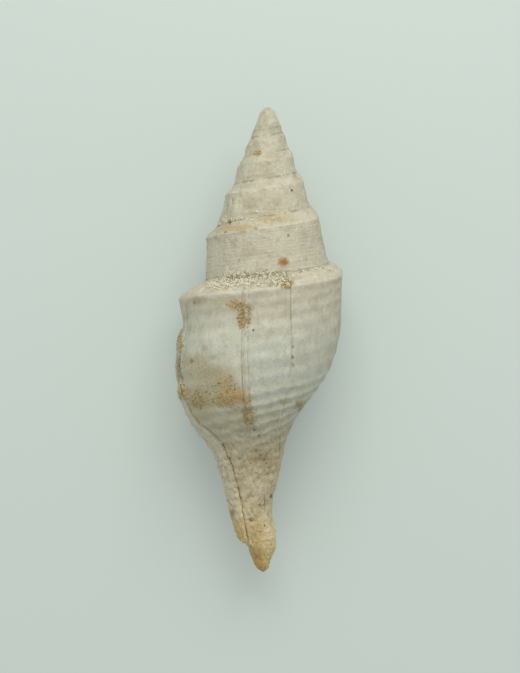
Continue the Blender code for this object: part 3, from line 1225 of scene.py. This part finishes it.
STAINS_AND_PAINTED_LIGHT = (
    StainAndLightPatches(Tint.ROSE, 0.3, patches(
        (9.6, 0.5, 3.4, 5.6, 1.0, 0.5), (5.0, 24.1, 0.8, 1.1, 0.9, 0.5),
    )),
    StainAndLightPatches(Tint.CHALK, 0.35, patches(
        (-7.0, 3.0, 3.4, 3.6, 0.4, 0.6), (-11.2, -7.8, 0.7, 1.1), (-3.6, -5.0, 1.2, 2.2),
        # The chalk patch below is painted light on the left flank of the whorl above the last, which
        # the lamp leaves too dark.
        (-8.4, 13.5, 1.6, 3.4, 0.6, 0.6),
    )),
    StainAndLightPatches(Tint.HAZE, 0.9, patches(
        (-8.3, -7.2, 5.2, 4.0, 0.7, 0.6), (-10.4, -3.6, 2.4, 1.6, 0.8, 0.6),
        (-4.7, 6.4, 1.6, 0.9, 0.8, 0.6), (-9.8, -12.0, 3.0, 2.6, 0.6, 0.6),
        (-3.0, -12.0, 2.4, 2.4, 0.5, 0.7), (-4.5, 18.9, 3.6, 0.9, 0.6, 0.6),
        (2.5, 20.4, 3.4, 0.8, 0.6, 0.6), (-4.6, -29.6, 0.9, 1.4, 0.8, 0.6),
    )),
    StainAndLightPatches(Tint.OCHRE, 0.9, patches(
        (-5.9, -7.0, 1.9, 1.5, 0.55, 0.7), (-4.6, -9.2, 2.6, 1.6, 0.9, 0.6),
        (-10.0, -9.8, 2.0, 1.5, 0.7, 0.6), (-8.0, -5.4, 2.6, 1.3, 0.4, 0.7),
        (-10.4, 6.9, 0.7, 0.8, 0.6, 0.6), (4.2, -10.1, 0.9, 0.5, 0.7, 0.6),
        (6.9, -10.8, 1.0, 0.8, 0.7, 0.6), (-2.1, -10.4, 0.75, 2.6, 0.9, 0.5),
        (0.5, -19.6, 1.7, 1.6, 0.6, 0.7), (-13.5, -3.2, 0.5, 6.4, 0.35, 0.5),
    )),
    StainAndLightPatches(Tint.SAND, 0.9, patches(
        (-3.5, 6.0, 1.8, 0.5), (-2.5, 4.0, 1.0, 2.1), (4.4, 9.6, 1.3, 0.9),
        (-5.6, -6.9, 1.3, 1.2, 0.4, 0.6), (-9.9, -9.8, 1.6, 1.2, 0.6, 0.6),
        (-6.1, -9.9, 1.2, 1.0, 0.6, 0.6), (-1.6, -12.9, 1.0, 1.0, 0.6, 0.8),
        (-13.4, 0.2, 0.45, 2.2, 0.6), (-12.8, -8.6, 0.8, 1.3, 0.7), (-0.3, 31.6, 0.7, 0.55),
    )),
    StainAndLightPatches(Tint.GOLD, 0.9, patches(
        (-3.9, -9.0, 2.2, 1.0, 0.9, 0.6), (-0.2, -33.2, 1.3, 3.2, 0.6, 0.8),
        (-3.3, -32.6, 1.3, 2.2, 0.7, 0.6),
    )),
    StainAndLightPatches(Tint.AMBER, 0.5, patches(
        (-4.2, 18.9, 2.9, 0.5, 1.0, 0.9), (2.1, 20.1, 2.8, 0.5, 1.0, 0.9),
    )),
    StainAndLightPatches(Tint.ORANGE, 0.9, patches(
        (4.0, 13.1, 0.85, 0.7, 1.1, 0.6), (3.8, 11.6, 0.8, 0.9, 0.25, 0.7),
        (-3.3, -9.1, 0.9, 0.5, 0.3, 0.8), (-0.5, -36.6, 0.9, 1.9, 0.6, 0.8),
        (0.3, -38.6, 0.9, 0.8, 0.7, 0.8),
    )),
    StainAndLightPatches(Tint.OLIVE, 0.8, patches(
        (1.8, 27.6, 3.0, 0.3, 0.5, 0.6), (-1.0, 21.2, 1.8, 0.3, 0.4, 0.6),
        (3.1, 21.9, 3.4, 0.25, 0.4, 0.6), (-1.3, 23.0, 1.2, 1.0, 0.5, 0.6),
        (2.9, 23.3, 0.9, 0.7, 0.5, 0.6), (-0.5, 14.5, 3.2, 0.6, 0.4, 0.7),
        # The two wide olive patches on the ledge are painted shade among the lime crumbs.
        (-0.6, 10.3, 5.8, 1.2, 0.95, 0.4), (-6.2, 9.6, 2.6, 0.9, 0.95, 0.4),
        (13.4, 2.2, 0.2, 1.8, 0.4, 0.6),
    )),
    StainAndLightPatches(Tint.MAUVE, 0.5, patches(
        (-9.1, -1.1, 0.6, 0.5), (-7.8, -2.6, 0.6, 0.5), (5.9, 28.0, 0.4, 0.5),
    )),
    StainAndLightPatches(Tint.BROWN, 0.8, patches(
        (-1.8, -12.4, 0.6, 1.3, 0.25, 0.7), (-1.1, -13.9, 0.7, 0.8, 0.25, 0.7),
        (-13.6, -4.6, 0.3, 2.0, 0.8, 0.5), (-11.3, -3.3, 0.35, 0.4, 0.7),
        (-10.8, 6.5, 0.2, 0.3, 0.7), (-1.4, -30.3, 0.5, 0.4, 0.9, 0.5),
        (-4.6, -29.4, 0.4, 0.7, 0.6, 0.6), (2.0, -26.4, 0.25, 0.4),
        (6.8, -11.0, 0.5, 0.5, 0.5, 0.7), (0.5, -19.4, 1.2, 1.0, 0.3, 0.7),
        (6.3, -10.2, 0.3, 0.3, 0.4, 0.7), (4.3, 13.0, 0.4, 0.4, 0.5, 0.6),
        (-5.0, 20.0, 0.3, 0.5, 0.8), (-4.4, 23.6, 0.2, 0.6, 0.5), (4.8, 17.6, 0.27, 0.25, 0.9),
        (-0.6, 18.7, 0.3, 0.3, 0.5), (-3.4, 13.4, 0.28, 0.25, 0.5), (-5.7, 18.2, 0.22, 0.22, 0.7),
        (-6.1, -17.4, 0.27, 0.33, 0.8), (-3.3, -19.8, 0.25, 0.25, 0.8),
    )),
    StainAndLightPatches(Tint.DARK, 0.9, patches(
        (-1.0, 1.8, 0.2, 0.2), (5.4, 25.3, 0.2, 0.2), (6.9, 11.5, 0.2, 0.16, 0.8),
        (8.1, 11.8, 0.2, 0.14, 0.6), (9.4, 12.1, 0.25, 0.15, 0.8), (10.7, 12.3, 0.2, 0.15, 0.8),
        (11.8, 11.9, 0.18, 0.2, 0.6), (5.5, -0.9, 0.16, 0.28, 0.7), (5.5, -2.6, 0.16, 0.28, 0.8),
        (5.5, -3.9, 0.16, 0.28, 0.6), (-4.9, 19.8, 0.15, 0.25, 0.8),
        (-1.35, -13.7, 0.2, 0.2, 0.7), (-0.83, -14.8, 0.2, 0.2, 0.8),
        (-0.1, -15.8, 0.2, 0.18, 0.8), (-0.6, -18.6, 0.16, 0.2, 0.7),
        (0.2, -19.2, 0.2, 0.16, 0.8), (0.8, -19.9, 0.16, 0.2, 0.7), (1.2, -20.6, 0.2, 0.16, 0.7),
        (0.85, -27.6, 0.12, 1.3, 0.6, 0.5), (3.4, -17.6, 0.1, 2.0, 0.35, 0.6),
    )),
)
DUST = patches(
    (-6.2, -8.6, 4.4, 2.6, 0.9, 0.6), (-10.2, -4.6, 2.4, 2.0, 0.6, 0.6),
    (-10.2, -9.6, 2.2, 1.6, 1.0, 0.6), (-1.8, -11.8, 1.3, 3.4, 0.9, 0.6),
    (-13.2, -3.4, 1.0, 6.6, 0.6, 0.5), (-2.8, 4.8, 1.7, 2.2, 1.0, 0.4),
    (4.4, 9.6, 1.3, 0.9, 1.0, 0.4), (6.6, -10.6, 1.4, 1.1, 0.9, 0.6),
    (0.4, -18.8, 2.4, 2.6, 0.5, 0.7), (-1.2, -30.0, 1.6, 1.4, 0.8, 0.6),
    (-4.2, 18.9, 2.6, 0.5, 0.5, 0.6), (2.3, 20.3, 2.6, 0.5, 0.6, 0.6),
)


class ShellSheet(FinishSheet):
    """Paints the shell, one layer over another."""

    def __init__(self) -> None:
        """Makes the material and reads what the skin has stored on it."""
        super().__init__("chalky_shell")
        stored = ("turns", "level", "last_whorl", "place", "outside")
        self.turns, self.level, self.last, self.place, self.outside = map(self.attribute, stored)
        self.upper = self.ease(-2.4, 0.4, self.above_axis(self.at, self.level)) * self.outside
        self.colour = self.ramp(self.level + (self.noise(self.at, 0.25, 3.0) - 0.5) * 9.0, GROUND)

    def tint(self, share: Field, tint: Tint) -> None:
        """Lays a tint over the colour so far."""
        self.colour = self.blend(share, self.colour, tint)

    def spots(self, low: float, high: float, *noise: float) -> Field:
        """0 to 1 as noise rises from low to high, from its scale, detail and roughness."""
        return self.ease(low, high, self.noise(self.at, *noise))

    def mottle(self) -> None:
        """Mottling of the ground and fine streaks along the growth lines."""
        self.tint(self.spots(0.44, 0.66, 0.45, 6.0, 0.7) * 0.32, Tint.OLIVE)
        elsewhere = self.at.vector_math("ADD", (31.0, 7.0, 3.0))
        light = self.ease(0.5, 0.68, self.noise(elsewhere, 0.7, 5.0, 0.7))
        self.tint(light * 0.35, Tint.CHALK)
        fine = self.ease(0.5, 0.72, self.noise(elsewhere, 2.6, 3.0, 0.7))
        self.tint(fine * 0.3, Tint.OLIVE)
        along = self.vector(self.turns * 150.0, self.place * 0.9, 0.0)
        streaks = self.ease(0.45, 0.7, self.noise(along, 1.0, 3.0, 0.6))
        where = 0.35 + self.ease(0.29, 0.33, self.turns) * 0.65
        self.tint(streaks * where * 0.3, Tint.ROSE)

    def threads(self) -> Field:
        """Fine threads round the whorls.

        Returns:
            The hollows between them, 1 at their middle.
        """
        wobble = self.noise(self.at, 0.5) * 1.1
        spire = ((self.place * 7.0 + wobble) * TAU).cos() * 0.5
        body = ((self.place * 2.35 + wobble * 0.2 + 0.27) * TAU).cos()
        wave = spire + (body - spire) * self.last
        lower_seam = self.ease(2.8, WALL_FOOT, self.place) * (1.0 - self.last)
        off_seams = self.ease(0.0, 0.2, self.place) * (1.0 - lower_seam)
        return (wave * -0.5 + 0.5) * (self.spots(0.35, 0.62, 0.35) * 0.85 + 0.15) * off_seams

    def rim(self) -> None:
        """The pale rim along each shoulder."""
        rim = self.ridge(self.place, RIM_PLACE, 0.12) * self.noise(self.at, 0.8)
        self.tint(rim * (0.4 + self.last * 0.3), Tint.CHALK)

    def lay_stains_and_painted_light(self, stains_and_painted_light: Sequence[StainAndLightPatches], dust: Sequence[Patch]) -> None:
        """Broad stained spots on the side that lies down; on the other, stained patches, painted
        light and shade, sand and spots.

        Args:
            stains_and_painted_light: the patches of the side that faces up; a few of them are
                painted light and shade.
            dust: where brown dots lie close together.
        """
        below = 1.0 - self.upper
        self.tint(self.spots(0.52, 0.68, 0.13, 4.0, 0.6) * below * 0.6, Tint.OCHRE)
        ragged = self.ragged(self.at, 1.6, 0.8)
        frayed = self.ragged(self.at, 0.5, 1.9)
        texture = (self.noise(self.at, 2.4, 3.0, 0.7) * 1.1 + 0.35).math("MINIMUM", 1.0)
        # A few of these patches are painted light and shade: a pale patch on a whorl's left flank
        # and olive shade among the ledge crumbs.
        for tint, strength, places in stains_and_painted_light:
            where = self.ovals(frayed if tint in FRAYED else ragged, places)
            self.tint(where * texture * self.upper * strength, tint)
        dots = self.spots(0.53, 0.62, 2.8, 3.0, 0.8) * self.ovals(ragged, dust)
        self.tint(dots * self.upper * 0.85, Tint.BROWN)

    def lip_lines(self) -> None:
        """A painted shadow along the newest lip's step, and dirt in the grooves along the older
        lips.
        """
        last = self.last * self.outside
        broken = self.spots(0.38, 0.58, 1.1, 3.0) * 0.8 + 0.2
        # The dark newest-lip line is painted shadow; the brown ones are dirt.
        for name, centre, width, first, end, strength, tint in LIP_LINES:
            line = self.ridge(self.attribute(name), centre, width)
            where = self.window(self.level, first, end, 1.5) * last * broken
            self.tint(line * where * strength, tint)
        newest = self.ease(0.1, 0.7, self.attribute("newest_lip"))
        self.tint(newest * self.window(self.level, 50.0, 67.0, 5.0) * last * 0.36, Tint.CHALK)
        ridge = self.ridge(self.attribute("middle_lip"), 0.0, 0.3)
        self.tint(ridge * self.window(self.level, 34.0, 50.0, 1.5) * last * 0.5, Tint.CREAM)

    def canal_dirt(self) -> None:
        """Dirt in the canal's net of grooves, mottling on its lumps, and dark specks."""
        groove = self.ease(0.12, 0.0, self.canal_net(self.at)) * self.spots(0.46, 0.62, 0.55)
        where = self.window(self.level, 61.0, 69.0, 4.0) * self.last
        self.tint(groove * where * 0.55, Tint.BROWN)
        lower = self.ease(52.0, 60.0, self.level)
        self.tint(self.spots(0.5, 0.66, 1.3, 4.0, 0.7) * lower * self.last * 0.5, Tint.OCHRE)
        crumbs = self.spots(0.53, 0.66, 2.4, 3.0, 0.8) * self.ease(68.0, 75.0, self.level)
        self.tint(crumbs * 0.5, Tint.BROWN)
        specks = self.ease(0.20, 0.10, self.cells(self.at, 0.75)) * self.spots(0.56, 0.66, 0.3, 3.0)
        self.tint(specks * (0.35 + lower * 0.65) * 0.8, Tint.BROWN)

    def painted_hollow_shade_and_worn_edges(self) -> None:
        """Painted shade in hollows, paler edges that are partly worn and partly painted highlight,
        and the tan inside.
        """
        edge = self.add("ShaderNodeNewGeometry", {}, out="Pointiness")
        # Painted shade: darker where the surface is hollow.
        self.tint(self.ease(0.49, 0.42, edge) * 0.30, Tint.OLIVE)
        # Paler on sharp edges: partly wear, partly painted highlight.
        self.tint(self.ease(0.52, 0.62, edge) * 0.25, Tint.CHALK)
        self.tint((1.0 - self.outside) * 0.6, Tint.CANAL_TAN)


@dataclass(frozen=True)
class ChalkyShell:
    """Worn chalky shell: cream, greyer on the last whorl, tan on the canal, orange at its tip."""

    # Some of these patches are painted light and shade.
    stains_and_painted_light: tuple[StainAndLightPatches, ...] = STAINS_AND_PAINTED_LIGHT
    dust: tuple[Patch, ...] = DUST
    bump: float = 0.12

    def material(self) -> bpy.types.Material:
        """Builds the material.

        Returns:
            The material.
        """
        sheet = ShellSheet()
        sheet.mottle()
        threads = sheet.threads()
        sheet.tint(threads * 0.18, Tint.OLIVE)
        sheet.rim()
        sheet.lay_stains_and_painted_light(self.stains_and_painted_light, self.dust)
        sheet.lip_lines()
        sheet.canal_dirt()
        sheet.painted_hollow_shade_and_worn_edges()
        grain = sheet.noise(sheet.at, 3.2, 4.0, 0.7)
        hatch = sheet.noise(sheet.vector(sheet.turns * 120.0, sheet.place * 1.2, 0.0), 1.0)
        height = grain * 0.8 + threads * (sheet.last * 0.16 - 0.46) + hatch * 0.8
        return sheet.surface(sheet.colour, 0.86 + grain * 0.1, height, self.bump)


@dataclass(frozen=True)
class LooseGrain:
    """Grains of one kind, each a little lighter or darker."""

    name: str
    dark: Tint
    light: Tint

    def material(self) -> bpy.types.Material:
        """Builds the material.

        Returns:
            The material.
        """
        sheet = FinishSheet(self.name)
        colour = sheet.blend(sheet.attribute("tone"), self.dark, self.light)
        cloudy = sheet.noise(sheet.at, 5.0, 3.0)
        colour = sheet.blend(cloudy * 0.5, colour, Tint.CREAM)
        return sheet.surface(colour, 0.6 + cloudy * 0.3, cloudy, 0.03)


@dataclass(frozen=True)
class TableTop:
    """Plain pale matt glass whose faint glow is painted light, which keeps shadows soft."""

    colour: Colour = paint(168, 178, 171)
    # The glow is painted light: the table gives off light though it is no lamp.
    painted_glow: Colour = paint(232, 242, 236)
    painted_glow_strength: float = 0.19
    roughness: float = 0.8

    def material(self) -> bpy.types.Material:
        """Builds the material.

        Returns:
            The material.
        """
        sheet = FinishSheet("pale_table")
        inputs = {
            "Base Color": self.colour,
            "Roughness": self.roughness,
            "Emission Color": self.painted_glow,
            "Emission Strength": self.painted_glow_strength,
        }
        for name, value in inputs.items():
            sheet.wire(value, sheet.shader.inputs[name])
        return sheet.material


# Pieces


@dataclass
class Shell:
    """The whole shell."""

    chart: SkinChart = field(default_factory=SkinChart)
    pose: Pose = field(default_factory=Pose)
    relief: Relief = field(default_factory=Relief)
    finish: ChalkyShell = field(default_factory=ChalkyShell)

    def build(self) -> bpy.types.Object:
        """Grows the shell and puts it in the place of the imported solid.

        Returns:
            The shell.
        """
        tree = CoilTree(self.pose, self.relief, self.finish.material())
        shell = tree.grow("spindle_shell", self.chart.mesh())
        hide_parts("shell")
        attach(shell, "root")
        return shell


class GrainTree(GrowingTree):
    """Scatters small angular grains over patches of a skin."""

    def __init__(self, grains: "Grains") -> None:
        """Builds the tree.

        Args:
            grains: what to scatter.
        """
        super().__init__(f"scatter_{grains.finish.name}")
        size = self.size("Grain size", grains.grain_size * MM)
        crowd = self.size("Grains per square millimetre", grains.crowd)
        seed = self.size("Seed", grains.seed, "NodeSocketInt")
        at = self.add("GeometryNodeInputPosition", {}).scaled(1.0 / MM)
        up = self.ease(0.05, 0.35, self.add("GeometryNodeInputNormal", {}).part(2))
        above = self.ease(-2.0, -1.0, self.above_axis(at, self.attribute("level")))
        where = self.ovals(self.ragged(at, 0.7, 0.9), grains.patches)
        where = where * up.math("MAXIMUM", grains.steep)
        clump = self.ease(0.40, 0.56, self.noise(at, 0.9, 3.0)) * grains.clumping
        clump = clump + (1.0 - grains.clumping)
        density = where * clump * above * self.attribute("outside") * crowd * PER_SQUARE_METRE
        inputs = {"Mesh": self.geometry(), "Density": density, "Seed": seed}
        points = self.add("GeometryNodeDistributePointsOnFaces", inputs)
        points = self.store(points, "tone", self.random(0.0, 1.0, seed, 1))
        ball = self.add("GeometryNodeMeshIcoSphere", {"Radius": 0.5, "Subdivisions": 1})
        turned = self.vector(*(self.random(0.0, TAU, seed, i) for i in (2, 3, 4)))
        sides = self.vector(*(self.random(0.4, grains.longest, seed, i) for i in (5, 6, 7)))
        sides = sides.scaled(size)
        inputs = {"Points": points, "Instance": ball, "Rotation": turned, "Scale": sides}
        self.end_with(self.add("GeometryNodeInstanceOnPoints", inputs), grains.finish.material())

    def random(self, low: float, high: float, seed: Field, shift: int) -> Field:
        """A random number for each point."""
        inputs = {2: low, 3: high, "Seed": seed + float(shift * SEED_STEP)}
        return self.add("FunctionNodeRandomValue", inputs, out=1, data_type="FLOAT")


@dataclass
class Grains:
    """Grains that stick to the shell in patches."""

    finish: LooseGrain
    patches: tuple[Patch, ...]
    grain_size: float = 0.31
    crowd: float = 9.0
    seed: int = 3
    steep: float = 0.0
    clumping: float = 0.0
    longest: float = 1.4

    def build(self, skin: bpy.types.Mesh) -> bpy.types.Object:
        """Scatters the grains.

        Args:
            skin: the mesh that they stick to.

        Returns:
            The grains as one piece.
        """
        grains = GrainTree(self).grow(self.finish.name, skin.copy())
        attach(grains, "root")
        return grains


SAND = Grains(
    LooseGrain("sand_grains", Tint.BROWN, Tint.SAND),
    patches(
        (-3.5, 6.0, 1.8, 0.45), (-2.5, 4.0, 0.85, 2.1), (4.4, 9.6, 1.2, 0.8),
        (-5.6, -7.0, 1.4, 1.3, 0.4, 0.6), (-10.0, -9.8, 1.7, 1.2, 0.55, 0.6),
        (-5.2, -9.8, 2.3, 1.2, 0.45, 0.6), (-2.0, -11.6, 0.6, 2.2, 0.35, 0.6),
        (-13.5, 0.2, 0.45, 2.2, 0.6), (-13.5, -4.6, 0.4, 2.6, 0.4), (-12.9, -8.6, 0.7, 1.3, 0.8),
        (-0.3, 31.6, 0.6, 0.5, 0.7),
    ),
    steep=0.6,
    crowd=13.0,
    clumping=0.4,
)
CRUMBS = Grains(
    LooseGrain("lime_crumbs", Tint.CREAM, Tint.CHALK),
    patches(
        (-0.6, 10.3, 5.6, 1.3, 0.9, 0.4), (-5.8, 9.6, 2.6, 1.1, 0.9, 0.4),
        (-3.4, 20.3, 2.6, 0.35, 0.35, 0.6), (2.0, 21.6, 3.4, 0.3, 0.3, 0.6),
        (8.2, 11.9, 3.6, 0.35, 0.25, 0.6),
    ),
    grain_size=0.28,
    crowd=12.0,
    longest=2.1,
    seed=11,
    steep=0.5,
)


# Studio


@dataclass
class Studio:
    """Floor, light and camera."""

    floor_half: float = 1.2
    eye_height: float = 0.392
    look_at: Pair = (0.0001, 0.0008)
    frame_width: float = 0.0884
    frame_height: float = 0.012
    nearest_seen: float = 0.01
    lamp_sides: Pair = (0.34, 0.26)
    lamp_energy: float = 1.1
    lamp_colour: Point = (1.0, 0.98, 0.94)
    lamp_at: Point = (0.035, 0.27, 0.28)
    sky_colour: Colour = (0.97, 1.0, 1.0, 1.0)
    sky_strength: float = 0.64

    def build(self) -> None:
        """Makes the floor, the lights and the camera."""
        self.lay_floor()
        self.hang_lights()
        self.aim_camera()

    def lay_floor(self) -> None:
        """A plain pale table under the shell, with a faint painted glow."""
        half = self.floor_half
        mesh = bpy.data.meshes.new("table")
        corners = [(-half, -half, 0.0), (half, -half, 0.0), (half, half, 0.0), (-half, half, 0.0)]
        mesh.from_pydata(corners, [], [(0, 1, 2, 3)])
        mesh.materials.append(TableTop().material())
        table = bpy.data.objects.new("table", mesh)
        bpy.context.scene.collection.objects.link(table)

    def hang_lights(self) -> None:
        """A large soft lamp from the spire's side, and even light from all round, shown plainly."""
        lamp = bpy.data.lights.new("window", "AREA")
        lamp.shape = "RECTANGLE"
        lamp.size, lamp.size_y = self.lamp_sides
        lamp.energy = self.lamp_energy
        lamp.color = self.lamp_colour
        holder = bpy.data.objects.new("window", lamp)
        holder.location = self.lamp_at
        holder.rotation_euler = (-holder.location).to_track_quat("-Z", "Y").to_euler()
        bpy.context.scene.collection.objects.link(holder)
        world = bpy.data.worlds.new("soft_room")
        world.use_nodes = True
        sky = world.node_tree.nodes["Background"]
        sky.inputs["Color"].default_value = self.sky_colour
        sky.inputs["Strength"].default_value = self.sky_strength
        bpy.context.scene.world = world
        bpy.context.scene.view_settings.view_transform = "Standard"

    def aim_camera(self) -> None:
        """A camera straight above the shell, at the photograph's viewing angle."""
        lens = bpy.data.cameras.new("camera")
        lens.sensor_fit = "HORIZONTAL"
        lens.angle = 2.0 * math.atan(self.frame_width / 2.0 / (self.eye_height - self.frame_height))
        lens.clip_start = self.nearest_seen
        camera = bpy.data.objects.new("camera", lens)
        camera.location = (*self.look_at, self.eye_height)
        bpy.context.scene.collection.objects.link(camera)
        bpy.context.scene.camera = camera


def main() -> None:
    """Builds each piece in turn and reports it."""
    logging.basicConfig(level=logging.INFO, format="%(name)s: %(message)s")
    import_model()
    shell = Shell().build()
    LOG.info("%s: %d faces", shell.name, len(shell.data.polygons))
    for grains in (SAND, CRUMBS):
        piece = grains.build(shell.data)
        LOG.info("%s: %d faces", piece.name, len(piece.data.polygons))
    Studio().build()
    LOG.info("table, lights and camera")


if __name__ == "__main__":
    main()
